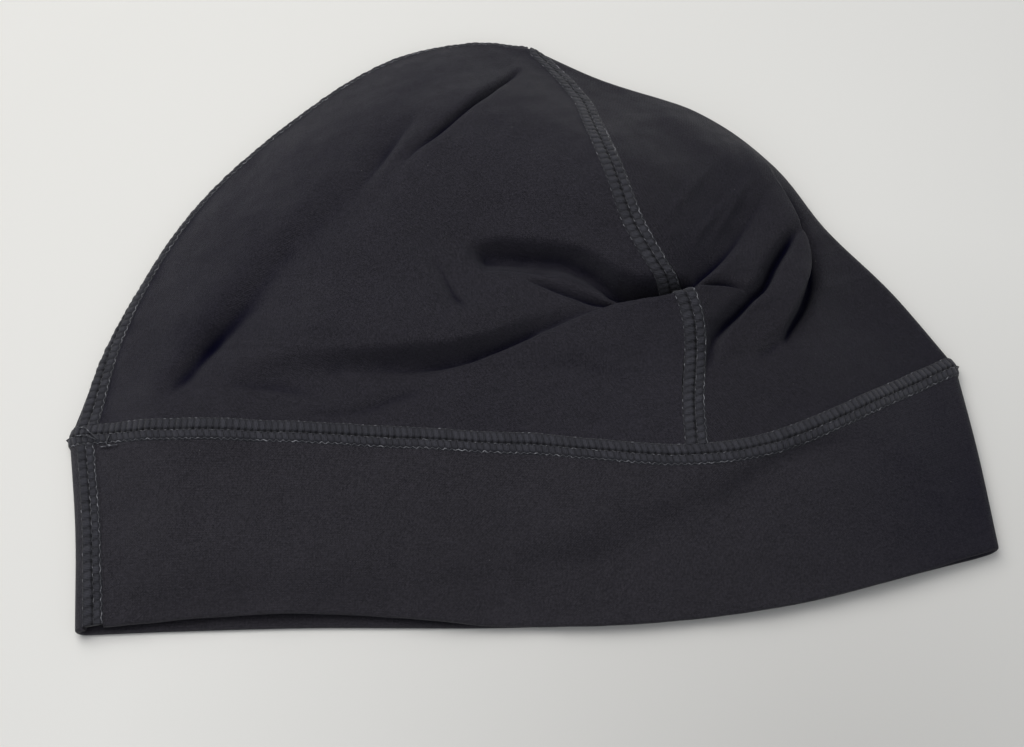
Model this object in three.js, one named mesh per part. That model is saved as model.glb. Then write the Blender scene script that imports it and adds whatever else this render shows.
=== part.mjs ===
// Knitted wool skull cap, lying flat on a table with its opening towards -Y.
// Millimetres, +Z up. The origin is the middle of its footprint, on the table.
//
// The cap is a double band and a crown of three panels, joined by flat overlocked seams.
// It lies folded at its left and right edges, so it is an upper and a lower layer of cloth.
// Every piece is a wall cut from one outer surface, which has two coordinates:
//   along   runs up the cap: -1 at the hem, 0 at the band seam and 1 at the point of the crown.
//   around  runs round the cap: 0 at the left fold, 1 at the right fold and 2 at the left fold again.
// Coordinates from 0 to 1 are on the upper layer, and from 1 to 2 on the lower one.

import * as THREE from 'three';

// Rows of numbers under named columns
function table(columns, rows) {
  return rows.map((row) => Object.fromEntries(columns.map((column, i) => [column, row[i]])));
}

// Driving dimensions
const CLOTH = 1.1;               // thickness of the crown's single jersey
const BAND_CLOTH = 1.6;          // thickness of the band, which is folded double
const SEAM_WIDTH = 5.5;          // width of a flat overlocked seam
const SEAM_CLOTH = 1.6;          // thickness of a seam, where two edges of cloth overlap
const SEAM_PROUD = 0.5;          // how far a seam stands above the cloth beside it
const SEAM_GAP = 0.38;           // clearance between a seam and the cloth beside it
const FOLD_RADIUS = 2.2;         // outer radius of the cap's left and right folds
const BULGE_REACH = 34;          // distance in from a fold over which the upper layer swells
const FOLD_FADE = 9;             // distance in from an edge over which the creases die out
const LEAST_RISE = 0.5;          // the least that the upper layer stands above its rounded edges
const POINT_TRIM = 0.998;        // how far up the crown the pieces run before they meet at the point
const PAST_HEM = -1.25;          // how far down the outline runs on, beyond the hem
const HEM_REACH = 0.45;          // how far the hem bulges past its wall, as a share of the cloth
const SEAMS_AT_POINT = 6;        // seam edges that share the way round the cap at its point
const HALF_SEAM = SEAM_WIDTH / 2;
const CLEAR_OF_SEAM = HALF_SEAM + SEAM_GAP;

// A seam on the lower layer is pressed flat up to one height, and stands its full height this much
// further up.
const FLAT_ON_TABLE = 0.5;
const CLEAR_OF_TABLE = 2;

// Sections across the lying cap, from hem to point.
// left and right are the ends of a section at the folds. y25, y50 and y75 say where the section
// runs between them, and level is the height of the upper layer above the table there.
const SECTION_COLUMNS = ['along', 'leftX', 'leftY', 'y25', 'y50', 'y75', 'rightX', 'rightY', 'level'];
const BAND_SECTIONS = table(SECTION_COLUMNS, [
  [-1.0, -104.5, -82.0, -81.4, -81.6, -77.4, 111.5, -61.8, 5.2],
  [-0.5, -107.2, -58.0, -58.8, -60.6, -58.8, 109.6, -38.2, 8.2],
  [0.0, -111.2, -34.5, -36.0, -39.0, -41.2, 106.8, -15.0, 11.0],
]);
const CROWN_SECTIONS = table(SECTION_COLUMNS, [
  [0.0, -111.2, -34.5, -36.0, -39.0, -41.2, 106.8, -15.0, 11.0],
  [0.2, -103.0, -5.5, -12.0, -16.0, -15.0, 93.0, 5.8, 13.0],
  [0.4, -87.0, 28.5, 12.0, 7.5, 9.5, 78.0, 24.0, 16.0],
  [0.6, -63.5, 55.8, 37.0, 31.5, 32.0, 65.5, 43.5, 18.0],
  [0.8, -37.5, 76.2, 61.0, 56.0, 54.0, 46.0, 60.4, 16.5],
  [0.93, -15.0, 82.6, 75.8, 72.8, 70.8, 20.0, 71.2, 12.0],
  [1.0, 1.0, 81.6, 81.5, 81.4, 81.3, 2.0, 81.2, 5.0],
]);

// Where the seams run: their place around the cap at points along it.
const SEAM_COLUMNS = ['along', 'around'];
const FRONT_SEAM_NEAR = table(SEAM_COLUMNS, [
  [0.0, 0.692],
  [0.1, 0.708],
  [0.22, 0.735],
  [0.3, 0.738],
  [0.38, 0.713],
  [0.5, 0.678],
  [0.62, 0.652],
  [0.75, 0.633],
  [0.86, 0.642],
  [0.93, 0.65],
  [1.0, 0.6],
]);
const FRONT_SEAM_FAR = table(SEAM_COLUMNS, [
  [0.0, 1.31],
  [0.4, 1.29],
  [0.8, 1.3],
  [1.0, 1.33],
]);
const BACK_SEAM = table(['along', 'inset'], [
  [0.0, 5.8],
  [0.12, 4.0],
  [0.3, 1.2],
  [1.0, 0.5],
]);

// Broad swellings and hollows of the upper layer: mounds with a length and a width, turned in degrees.
// back is how far they draw the cloth up the cap.
const SWELLS = table(['name', 'x', 'y', 'length', 'width', 'turn', 'height', 'back'], [
  ['open mouth', -52, -84, 44, 26, 0, 3.6, 2.0],
  ['mouth closes', 8, -84, 26, 20, 0, -1.2, 0],
  ['band right', 48, -44, 34, 18, 0, 3.0, 0],
  ['crown slump', 20, 24, 36, 20, -32, 6.5, 0],
  ['crown left', -42, 14, 40, 16, 45, 4.0, 0],
  ['right shoulder', 54, 42, 22, 10, -52, 5.0, 0],
  ['right flat', 88, 4, 30, 16, -55, -8.0, 0],
]);

// Folds and creases of the upper layer. Each runs from a to b, bowed to its left by bow.
// height is its rise, or its depth when negative. right and left are its widths on either side
// of its line, and lean moves its crest sideways, to the right when positive.
const FOLDS = table(['name', 'ax', 'ay', 'bx', 'by', 'bow', 'height', 'right', 'left', 'lean'], [
  ['slump edge', -66, -13, 8, -1, -2, 6.5, 6.0, 22, 1.0],
  ['slump foot', -66, -23, 4, -12, -1, -2.0, 5, 4, 0],
  ['strip lip', -2, -15, 42, -3.5, 1.5, 3.0, 16, 4.0, -0.5],
  ['pocket', -13, 7, 42, -3.5, 4.5, -8.0, 4.6, 8.0, 0],
  ['rib slope', 40, -1, 60, 27, -1.6, -4.5, 5, 12, 0],
  ['right crease', 70, 20, 44, -12, 2.3, -6.0, 4.6, 4.6, 0],
  ['right lip', 66, 37, 60, -16, 8, 7.5, 9, 4.2, -0.8],
  ['top crease', -3, 65, -34, 34, 1.7, -5.0, 6, 4, 0],
  ['left valley', -36, 45, -92, -24, -0.5, -4.5, 9, 14, 0],
  ['band valley', 86, -37, -8, -71, 0, -3.5, 8, 9, 0],
]);

// How a fold's height rises and dies away at its ends, in shares of its length
const FOLD_RUN_ON = 0.12;
const FOLD_END = 0.34;

// Grid spacing
const ROWS_ALONG_BAND = 5;
const CROWN_ROW_BANDS = table(['upTo', 'rows'], [
  [0.18, 3],
  [0.46, 9],
  [0.84, 7],
  [0.95, 3],
  [POINT_TRIM, 4],
]);
const STEPS_NEAR_FOLD = [0, 1.4, 2.8, 4.4, 7.5];
const NARROW_PANEL = 45;         // a panel narrower than this has its steps near a fold drawn closer
const STEP_NEAR_PANEL = 6;
const STEP_FRONT_PANEL = 4;
const STEP_LOWER = 24;
const SEAM_LINES = 2;            // strips across a seam on a flat layer
const FOLDED_SEAM_LINES = 4;     // strips across the back seam, which runs round the left fold

// A smooth curve through the rows of a table, in one of its columns.
function rowValue(rows, key, column, at) {
  const last = rows.length - 1;
  let i = 0;
  while (i < last - 1 && at > rows[i + 1][key]) i += 1;
  const a = rows[i];
  const b = rows[i + 1];
  const before = rows[Math.max(i - 1, 0)];
  const after = rows[Math.min(i + 2, last)];
  const span = b[key] - a[key];
  const t = (at - a[key]) / span;
  const slopeA = ((b[column] - before[column]) / (b[key] - before[key])) * span;
  const slopeB = ((after[column] - a[column]) / (after[key] - a[key])) * span;
  const t2 = t * t;
  const t3 = t2 * t;
  return (
    a[column] * (2 * t3 - 3 * t2 + 1)
    + slopeA * (t3 - 2 * t2 + t)
    + b[column] * (3 * t2 - 2 * t3)
    + slopeB * (t3 - t2)
  );
}

function sectionValue(column, along) {
  return rowValue(along < 0 ? BAND_SECTIONS : CROWN_SECTIONS, 'along', column, along);
}

// The place in plan of a point that is a share of the way across a section.
function planPoint(share, along) {
  const leftX = sectionValue('leftX', along);
  const rightX = sectionValue('rightX', along);
  const section = [
    { share: 0, y: sectionValue('leftY', along) },
    { share: 0.25, y: sectionValue('y25', along) },
    { share: 0.5, y: sectionValue('y50', along) },
    { share: 0.75, y: sectionValue('y75', along) },
    { share: 1, y: sectionValue('rightY', along) },
  ];
  return [leftX + (rightX - leftX) * share, rowValue(section, 'share', 'y', share)];
}

// The cap's outline in plan: up the left fold, round the point and down the right fold.
// It runs on past the hem, so the hem is no edge that the cloth folds round.
function outlinePoints() {
  const steps = 563;
  const left = [];
  const right = [];
  for (let i = 0; i <= steps; i += 1) {
    const along = PAST_HEM + ((1 - PAST_HEM) * i) / steps;
    left.push(planPoint(0, along));
    right.push(planPoint(1, along));
  }
  return left.concat(right.reverse());
}

const OUTLINE = outlinePoints();

function distanceToOutline(x, y) {
  let best = Infinity;
  for (let i = 0; i + 1 < OUTLINE.length; i += 1) {
    const [ax, ay] = OUTLINE[i];
    const dx = OUTLINE[i + 1][0] - ax;
    const dy = OUTLINE[i + 1][1] - ay;
    const length2 = dx * dx + dy * dy || 1e-12;
    const t = Math.min(Math.max(((x - ax) * dx + (y - ay) * dy) / length2, 0), 1);
    const ex = x - ax - t * dx;
    const ey = y - ay - t * dy;
    best = Math.min(best, ex * ex + ey * ey);
  }
  return Math.sqrt(best);
}

function smooth(t) {
  const c = Math.min(Math.max(t, 0), 1);
  return c * c * (3 - 2 * c);
}

// How far the swellings lift a point of the upper layer, and how far they draw it up the cap.
function swellShift(x, y) {
  const shift = { height: 0, back: 0 };
  for (const swell of SWELLS) {
    const turn = THREE.MathUtils.degToRad(swell.turn);
    const dx = x - swell.x;
    const dy = y - swell.y;
    const p = (dx * Math.cos(turn) + dy * Math.sin(turn)) / swell.length;
    const q = (dy * Math.cos(turn) - dx * Math.sin(turn)) / swell.width;
    const share = Math.exp(-p * p - q * q);
    shift.height += swell.height * share;
    shift.back += swell.back * share;
  }
  return shift;
}

// How the folds move a point of the upper layer: sideways in plan and up or down.
function foldShift(x, y) {
  const shift = new THREE.Vector3();
  for (const fold of FOLDS) {
    const dx = fold.bx - fold.ax;
    const dy = fold.by - fold.ay;
    const length = Math.hypot(dx, dy);
    const t = ((x - fold.ax) * dx + (y - fold.ay) * dy) / (length * length);
    const bowed = 4 * fold.bow * t * (1 - t);
    const side = ((y - fold.ay) * dx - (x - fold.ax) * dy) / length - bowed;
    const width = side < 0 ? fold.right : fold.left;
    const ends = smooth((t + FOLD_RUN_ON) / FOLD_END) * smooth((1 + FOLD_RUN_ON - t) / FOLD_END);
    const crest = ends * Math.exp(-(side * side) / (width * width));
    shift.z += fold.height * crest;
    shift.x += (fold.lean * crest * dy) / length;
    shift.y -= (fold.lean * crest * dx) / length;
  }
  return shift;
}

// The length of one layer of cloth across a section, from the left fold to the right one.
function layerLength(along) {
  const leastWidth = 0.5;
  const width = sectionValue('rightX', along) - sectionValue('leftX', along);
  return Math.max(width, leastWidth) + (Math.PI - 2) * FOLD_RADIUS;
}

// How far in from a fold a point lies in plan, when it lies a given way along the cloth.
function insetFromFold(cloth) {
  const quarter = (Math.PI / 2) * FOLD_RADIUS;
  if (cloth < quarter) return FOLD_RADIUS * (1 - Math.cos(cloth / FOLD_RADIUS));
  return FOLD_RADIUS + cloth - quarter;
}

// The outer surface of the cap.
function surfacePoint(around, along) {
  const turn = ((around % 2) + 2) % 2;
  const upper = turn <= 1;
  const across = upper ? turn : 2 - turn;
  const length = layerLength(along);
  const width = length - (Math.PI - 2) * FOLD_RADIUS;
  const fromLeft = insetFromFold(Math.min(across, 1 - across) * length) / width;
  const [x, y] = planPoint(across < 0.5 ? fromLeft : 1 - fromLeft, along);
  const inset = distanceToOutline(x, y);
  const round = FOLD_RADIUS - Math.min(inset, FOLD_RADIUS);
  const rise = Math.sqrt(Math.max(FOLD_RADIUS * FOLD_RADIUS - round * round, 0));
  if (!upper) return new THREE.Vector3(x, y, FOLD_RADIUS - rise);
  const swellIn = 1 - (1 - Math.min(inset / BULGE_REACH, 1)) ** 2;
  const swell = swellShift(x, y);
  const level = Math.max(sectionValue('level', along) - 2 * FOLD_RADIUS + swell.height, LEAST_RISE);
  const shift = foldShift(x, y);
  shift.y += swell.back;
  shift.multiplyScalar(smooth(inset / FOLD_FADE));
  return new THREE.Vector3(x, y, FOLD_RADIUS + rise + level * swellIn).add(shift);
}

// The direction that the surface faces.
function surfaceNormal(around, along) {
  const stepAround = 0.0015;
  const stepAlong = 0.003;
  const across = surfacePoint(around + stepAround, along).sub(surfacePoint(around - stepAround, along));
  const above = Math.min(along + stepAlong, 1);
  const up = surfacePoint(around, above).sub(surfacePoint(around, along - stepAlong));
  return across.cross(up).normalize();
}

// How far a step of one in along moves a point, in millimetres.
function stretchAlong(around, along) {
  const step = 0.01;
  return surfacePoint(around, along + step).distanceTo(surfacePoint(around, along - step)) / (2 * step);
}

// How much narrower the seams get where they meet at the point.
function seamTaper(along) {
  return Math.min(1, (2 * layerLength(along)) / (SEAMS_AT_POINT * (SEAM_WIDTH + 2 * SEAM_GAP)));
}

// The middle lines of the seams of the crown: their places around the cap.
function frontSeamNear(along) {
  return rowValue(FRONT_SEAM_NEAR, 'along', 'around', along);
}

function frontSeamFar(along) {
  return rowValue(FRONT_SEAM_FAR, 'along', 'around', along);
}

function backSeam(along) {
  return rowValue(BACK_SEAM, 'along', 'inset', along) / layerLength(along);
}

// A place beside a seam, offset millimetres from its middle line.
function besideSeam(seam, along, offset) {
  const onSeam = Math.min(Math.abs(offset), HALF_SEAM);
  const gap = Math.abs(offset) - onSeam;
  const reach = onSeam * seamTaper(along) + gap;
  return seam(along) + (Math.sign(offset) * reach) / layerLength(along);
}

// A place above or below the band seam, offset millimetres from its middle line.
function besideBandSeam(around, offset) {
  const measuredAt = 0.02;
  return offset / stretchAlong(around, Math.sign(offset) * measuredAt);
}

// Places between two ends on a layer, close together beside a fold and evenly spaced elsewhere.
function spread(from, to, count, closeAtStart, closeAtEnd, length) {
  const span = (to - from) * length;
  const scale = Math.min(1, span / NARROW_PANEL);
  const start = (closeAtStart ? STEPS_NEAR_FOLD : [0]).map((mm) => mm * scale);
  const end = (closeAtEnd ? STEPS_NEAR_FOLD : [0]).map((mm) => span - mm * scale).reverse();
  const first = start[start.length - 1];
  const last = end[0];
  const middle = [];
  for (let i = 1; i < count; i += 1) middle.push(first + ((last - first) * i) / count);
  return start.concat(middle, end).map((mm) => from + mm / length);
}

// How many steps of a size fit between two places around the cap, at the band seam.
function countFor(from, to, step) {
  return Math.max(1, Math.round(((to - from) * layerLength(0)) / step));
}

const NEAR_COUNT = countFor(backSeam(0), frontSeamNear(0), STEP_NEAR_PANEL);
const FRONT_COUNT = countFor(frontSeamNear(0), 1, STEP_FRONT_PANEL);
const FRONT_UNDER_COUNT = countFor(1, frontSeamFar(0), STEP_LOWER);
const FAR_COUNT = countFor(frontSeamFar(0), 2, STEP_LOWER);

// The places around the cap of each panel's grid lines, at one height along the crown.
function nearPanelLines(along) {
  const from = besideSeam(backSeam, along, CLEAR_OF_SEAM);
  const to = besideSeam(frontSeamNear, along, -CLEAR_OF_SEAM);
  return spread(from, to, NEAR_COUNT, true, false, layerLength(along));
}

function frontPanelLines(along) {
  const from = besideSeam(frontSeamNear, along, CLEAR_OF_SEAM);
  const to = besideSeam(frontSeamFar, along, -CLEAR_OF_SEAM);
  const length = layerLength(along);
  const upper = spread(from, 1, FRONT_COUNT, false, true, length);
  const lower = spread(1, to, FRONT_UNDER_COUNT, true, false, length);
  return upper.concat(lower.slice(1));
}

function farPanelLines(along) {
  const from = besideSeam(frontSeamFar, along, CLEAR_OF_SEAM);
  const to = 2 + besideSeam(backSeam, along, -CLEAR_OF_SEAM);
  return spread(from, to, FAR_COUNT, false, true, layerLength(along));
}

function seamLines(seam, along, count) {
  const lines = [];
  for (let i = 0; i <= count; i += 1) {
    lines.push(besideSeam(seam, along, HALF_SEAM * ((2 * i) / count - 1)));
  }
  return lines;
}

// The grid lines of the band, which is open where its upright seam closes it.
function bandLines() {
  return [].concat(
    nearPanelLines(0),
    seamLines(frontSeamNear, 0, SEAM_LINES),
    frontPanelLines(0),
    seamLines(frontSeamFar, 0, SEAM_LINES),
    farPanelLines(0),
  );
}

// A closed wall of cloth. rows is a grid of places on the outer surface, [around, along] each,
// listed from the hem upwards. A loop's rows close on themselves.
function clothWall(rows, { thickness, proud = 0, loop = false, roundHem = false }) {
  const columns = rows[0].length;
  const outer = [];
  const inner = [];
  const hem = [];
  for (const row of rows) {
    for (const [around, along] of row) {
      const point = surfacePoint(around, along);
      const normal = surfaceNormal(around, along);
      const standing = proud * smooth((point.z - FLAT_ON_TABLE) / CLEAR_OF_TABLE);
      outer.push(point.clone().addScaledVector(normal, standing));
      inner.push(point.clone().addScaledVector(normal, standing - thickness));
    }
  }
  if (roundHem) {
    for (let i = 0; i < columns; i += 1) {
      const middle = outer[i].clone().add(inner[i]).multiplyScalar(0.5);
      const down = outer[i].clone().sub(outer[i + columns]).setZ(0).normalize();
      hem.push(middle.addScaledVector(down, HEM_REACH * thickness));
    }
  }
  const points = outer.concat(inner, hem);
  const innerStart = outer.length;
  const hemStart = 2 * outer.length;
  const top = (rows.length - 1) * columns;
  const index = [];
  const quad = (a, b, c, d) => index.push(a, b, c, a, c, d);
  const last = loop ? columns : columns - 1;
  for (let i = 0; i < last; i += 1) {
    const next = (i + 1) % columns;
    for (let j = 0; j + 1 < rows.length; j += 1) {
      const low = j * columns;
      const high = low + columns;
      quad(low + i, low + next, high + next, high + i);
      quad(innerStart + low + next, innerStart + low + i, innerStart + high + i, innerStart + high + next);
    }
    quad(top + i, top + next, innerStart + top + next, innerStart + top + i);
    if (roundHem) {
      quad(hemStart + i, hemStart + next, next, i);
      quad(innerStart + i, innerStart + next, hemStart + next, hemStart + i);
    } else {
      quad(innerStart + i, innerStart + next, next, i);
    }
  }
  if (!loop) {
    const end = columns - 1;
    if (roundHem) {
      index.push(0, innerStart, hemStart);
      index.push(innerStart + end, end, hemStart + end);
    }
    for (let j = 0; j + 1 < rows.length; j += 1) {
      const low = j * columns;
      const high = low + columns;
      quad(innerStart + low, low, high, innerStart + high);
      quad(low + end, innerStart + low + end, innerStart + high + end, high + end);
    }
  }
  const geometry = new THREE.BufferGeometry();
  const positions = points.flatMap((p) => p.toArray());
  geometry.setAttribute('position', new THREE.Float32BufferAttribute(positions, 3));
  geometry.setIndex(index);
  geometry.computeVertexNormals();
  return geometry;
}

// The heights along the crown of its grid rows, closer together across the folds and at the point.
function crownRows() {
  const heights = [0];
  for (const part of CROWN_ROW_BANDS) {
    const from = heights[heights.length - 1];
    for (let i = 1; i <= part.rows; i += 1) {
      heights.push(from + ((part.upTo - from) * i) / part.rows);
    }
  }
  return heights;
}

// The grid of a piece of the crown: linesAt gives its places around the cap at one height.
function crownGrid(linesAt) {
  return crownRows().map((along) => (
    linesAt(along).map((around) => {
      const foot = besideBandSeam(around, CLEAR_OF_SEAM);
      return [around, foot + (along * (POINT_TRIM - foot)) / POINT_TRIM];
    })
  ));
}

const jersey = { color: 0x2a2a2e, roughness: 0.95, metalness: 0 };
const seamThread = { color: 0x3a3a40, roughness: 0.9, metalness: 0 };

const cap = new THREE.Group();

function addPiece(name, geometry, look) {
  const mesh = new THREE.Mesh(geometry, new THREE.MeshStandardMaterial(look));
  mesh.name = name;
  cap.add(mesh);
}

// The band and the two seams that lie on it
function bandGrid(lines) {
  const rows = [];
  for (let j = 0; j <= ROWS_ALONG_BAND; j += 1) {
    rows.push(lines.map((around) => {
      const top = besideBandSeam(around, -CLEAR_OF_SEAM);
      return [around, -1 + ((top + 1) * j) / ROWS_ALONG_BAND];
    }));
  }
  return rows;
}

function ringGrid(lines) {
  return [-1, 0, 1].map((side) => lines.map((around) => [
    around,
    side === 0 ? 0 : besideBandSeam(around, side * HALF_SEAM),
  ]));
}

const aroundBand = bandLines();
const aroundBackSeam = seamLines(backSeam, 0, FOLDED_SEAM_LINES);
const bandWall = { thickness: BAND_CLOTH, roundHem: true };
const bandSeamWall = { thickness: SEAM_CLOTH, proud: SEAM_PROUD, roundHem: true };
const ringWall = { thickness: SEAM_CLOTH, proud: SEAM_PROUD, loop: true };
addPiece('band', clothWall(bandGrid(aroundBand), bandWall), jersey);
addPiece('seam_band_back', clothWall(bandGrid(aroundBackSeam), bandSeamWall), seamThread);
addPiece('seam_band_ring', clothWall(ringGrid(aroundBackSeam.concat(aroundBand)), ringWall), seamThread);

// The three panels of the crown
const crownWall = { thickness: CLOTH };
addPiece('crown_panel_near', clothWall(crownGrid(nearPanelLines), crownWall), jersey);
addPiece('crown_panel_front', clothWall(crownGrid(frontPanelLines), crownWall), jersey);
addPiece('crown_panel_far', clothWall(crownGrid(farPanelLines), crownWall), jersey);

// The seams between them
function addCrownSeam(name, seam, count) {
  const grid = crownGrid((along) => seamLines(seam, along, count));
  addPiece(name, clothWall(grid, { thickness: SEAM_CLOTH, proud: SEAM_PROUD }), seamThread);
}

addCrownSeam('seam_crown_front_near', frontSeamNear, SEAM_LINES);
addCrownSeam('seam_crown_front_far', frontSeamFar, SEAM_LINES);
addCrownSeam('seam_crown_back', backSeam, FOLDED_SEAM_LINES);

export default cap;
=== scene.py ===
# Knitted wool skull cap, lying flat on a pale table with its opening towards -Y.
# Sizes are in millimetres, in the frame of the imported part, and MM turns them into metres.
#
# Every piece of cloth is cut from one outer surface, which has two coordinates:
#   along   runs up the cap: -1 at the hem, 0 at the band seam and 1 at the point of the crown.
#   around  runs round the cap: 0 at the left fold, 1 at the right fold and 2 at the left fold again.
# Coordinates from 0 to 1 are on the upper layer, and from 1 to 2 on the lower one.

import math

import bpy
import numpy as np
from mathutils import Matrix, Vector


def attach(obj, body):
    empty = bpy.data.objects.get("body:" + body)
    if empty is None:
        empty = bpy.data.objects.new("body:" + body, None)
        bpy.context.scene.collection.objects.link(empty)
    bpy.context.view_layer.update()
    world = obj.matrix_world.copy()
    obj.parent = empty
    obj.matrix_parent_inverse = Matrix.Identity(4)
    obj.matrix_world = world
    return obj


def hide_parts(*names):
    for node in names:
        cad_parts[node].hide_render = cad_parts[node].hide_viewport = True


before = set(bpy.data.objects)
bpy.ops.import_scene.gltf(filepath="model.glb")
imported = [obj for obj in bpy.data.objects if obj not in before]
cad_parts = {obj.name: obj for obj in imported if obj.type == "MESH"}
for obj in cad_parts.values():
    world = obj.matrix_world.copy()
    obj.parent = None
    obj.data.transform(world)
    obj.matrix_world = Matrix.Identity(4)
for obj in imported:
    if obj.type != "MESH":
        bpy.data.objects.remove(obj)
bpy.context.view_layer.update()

MM = 0.001

# Driving dimensions, as in the part
CLOTH = 1.1               # thickness of the crown's single jersey
BAND_CLOTH = 1.6          # thickness of the band, which is folded double
BAND_LAYER = 0.74         # thickness of one of its two layers
SEAM_WIDTH = 5.5          # width of a flat overlocked seam
SEAM_CLOTH = 1.6          # thickness of a seam, where two edges of cloth overlap
SEAM_PROUD = 0.5          # how far a seam stands above the cloth beside it
SEAM_GAP = 0.38           # clearance that the part leaves beside a seam
STITCH = 1.55             # pitch of the stitches in the seams' relief, drawn out to each seam's own
RING_PITCH = 1.55         # pitch of the stitches round the band seam
CROWN_PITCH = 1.9         # along the seams of the crown
BACK_PITCH = 2.1          # and down the band's upright seam
BACK_NARROWER = 0.84      # how wide that seam is beside the others
FOLD_RADIUS = 2.2         # outer radius of the cap's left and right folds
BULGE_REACH = 34          # distance in from a fold over which the upper layer swells
FOLD_FADE = 6             # distance in from an edge over which the creases die out
LEAST_RISE = 0.5          # the least that the upper layer stands above its rounded edges
POINT_TRIM = 0.998        # how far up the crown the pieces run before they meet at the point
LEAST_WIDTH = 0.5         # the least width of a section, near the point
SEAMS_AT_POINT = 6        # how many seam widths have to fit round the cap before the seams narrow
BESIDE = 0.02             # how far from the band seam the cloth's stretch beside it is measured
OVERLAP = 0.3             # how far an upright seam runs under the edge of the band seam
HALF_SEAM = SEAM_WIDTH / 2
UNDER_SEAM = HALF_SEAM - 0.5      # where a panel's edge lies, hidden under the seam that joins it


def table(columns, rows):
    """Rows of numbers as one array for each named column."""
    return {name: np.array([row[i] for row in rows], float) for i, name in enumerate(columns)}


# Sections across the lying cap, from hem to point.
# left and right are the ends of a section at the folds. y25, y50 and y75 say where the section
# runs between them, and level is the height of the upper layer above the table there.
SECTION_COLUMNS = ["along", "leftX", "leftY", "y25", "y50", "y75", "rightX", "rightY", "level"]
BAND_SECTIONS = table(SECTION_COLUMNS, [
    [-1.0, -104.5, -82.0, -81.4, -81.6, -77.4, 111.5, -61.8, 5.2],
    [-0.5, -107.2, -58.0, -58.8, -60.6, -58.8, 109.6, -38.2, 8.2],
    [0.0, -111.2, -34.5, -36.0, -39.0, -41.2, 106.8, -15.0, 11.0],
])
CROWN_SECTIONS = table(SECTION_COLUMNS, [
    [0.0, -111.2, -34.5, -36.0, -39.0, -41.2, 106.8, -15.0, 11.0],
    [0.2, -103.0, -5.5, -12.0, -16.0, -15.0, 93.0, 5.8, 13.0],
    [0.4, -87.0, 28.5, 12.0, 7.5, 9.5, 78.0, 24.0, 16.0],
    [0.6, -63.5, 55.8, 37.0, 31.5, 32.0, 65.5, 43.5, 18.0],
    [0.8, -37.5, 76.2, 61.0, 56.0, 54.0, 46.0, 60.4, 16.5],
    [0.93, -15.0, 82.6, 75.8, 72.8, 70.8, 20.0, 71.2, 12.0],
    [1.0, 1.0, 81.6, 81.5, 81.4, 81.3, 2.0, 81.2, 5.0],
])

# Where the seams run: their place around the cap at points along it
SEAM_COLUMNS = ["along", "around"]
FRONT_SEAM_NEAR = table(SEAM_COLUMNS, [
    [0.0, 0.692], [0.1, 0.708], [0.22, 0.735], [0.3, 0.738], [0.38, 0.713], [0.5, 0.678],
    [0.62, 0.652], [0.75, 0.633], [0.86, 0.642], [0.93, 0.65], [1.0, 0.6],
])
FRONT_SEAM_FAR = table(SEAM_COLUMNS, [[0.0, 1.31], [0.4, 1.29], [0.8, 1.3], [1.0, 1.33]])
BACK_SEAM = table(["along", "inset"], [[0.0, 5.8], [0.12, 4.0], [0.3, 1.2], [1.0, 0.5]])

# Broad swellings and hollows of the upper layer: mounds with a length and a width, turned in degrees.
# back is how far they draw the cloth up the cap.
SWELLS = [
    # name, x, y, length, width, turn, height, back
    ("open mouth", -52, -84, 44, 26, 0, 3.6, 2.0),
    ("mouth closes", 8, -84, 26, 20, 0, -1.2, 0),
    ("band right", 48, -44, 34, 18, 0, 3.0, 0),
    ("crown slump", 20, 24, 36, 20, -32, 6.5, 0),
    ("crown left", -42, 14, 40, 16, 45, 4.0, 0),
    ("right shoulder", 54, 42, 22, 10, -52, 5.0, 0),
    ("right flat", 88, 4, 30, 16, -55, -8.0, 0),
]

# Folds and creases of the upper layer, each a line through a few places, given in order.
# height is the rise of the cloth there, or its depth when negative. right and left are the widths
# of the fold on either side of its line, and lean, where given, pushes its crest to the right.
# The two numbers before each table say how its right and left sides fall away:
# 1 is a creased edge, 2 is a soft roll and 3 is a wall with a flat foot.
FOLD_COLUMNS = ["x", "y", "height", "right", "left", "lean"]


def fold(right_power, left_power, rows):
    full = [(row + [0])[:len(FOLD_COLUMNS)] for row in rows]
    return right_power, left_power, table(FOLD_COLUMNS, full)


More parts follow.
